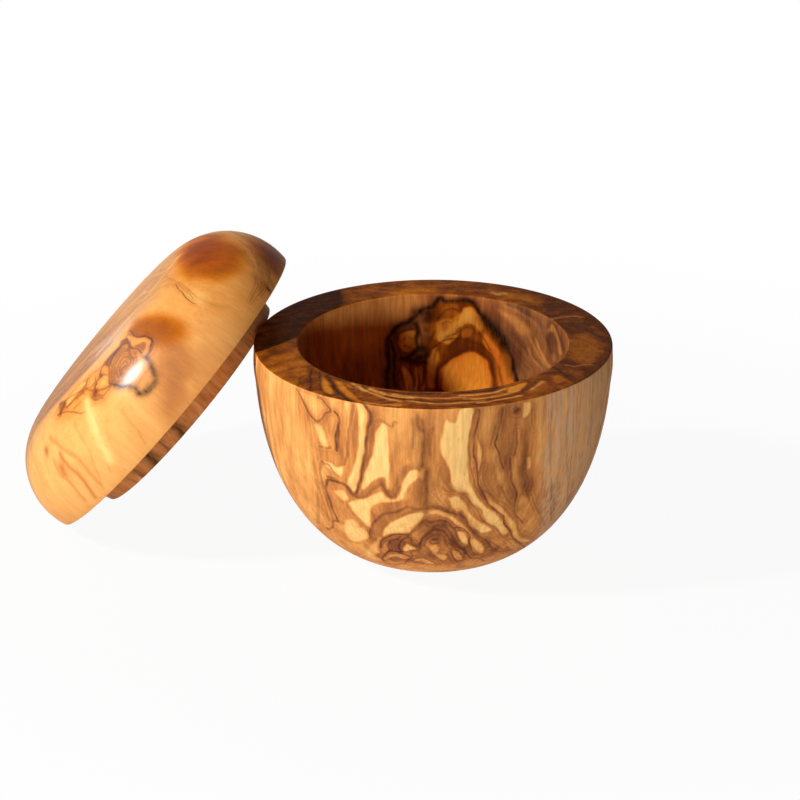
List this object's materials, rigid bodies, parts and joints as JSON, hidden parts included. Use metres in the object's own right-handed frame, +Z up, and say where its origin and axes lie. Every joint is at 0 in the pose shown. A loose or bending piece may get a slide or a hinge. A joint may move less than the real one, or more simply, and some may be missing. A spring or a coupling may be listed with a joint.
{
  "type": "salt pot",
  "caption": "Round turned wooden salt pot: a thick-walled bowl on a flat foot, with a domed lift-off lid whose spigot fits the mouth, shown leaning on the bowl.",
  "frame": {"origin": "centre of the bowl's flat foot, on the surface it stands on", "axes": "+Z up the bowl's axis, the taken-off lid leans on the bowl's -X side, -Y faces the viewer"},
  "size_m": [0.202, 0.1492, 0.1004],
  "materials": {
    "pot_wood": "oiled satin, strong dark figure",
    "lid_wood": "oiled satin, pale honey with a knot"
  },
  "bodies": {
    "pot": {"pot": "pot_wood"},
    "lid": {"lid": "lid_wood"}
  },
  "joints": [
    {"name": "lid_lift", "type": "slide", "parent": "pot", "child": "lid", "axis": [0, 0, 1], "range_m": [0, 0.12]}
  ]
}
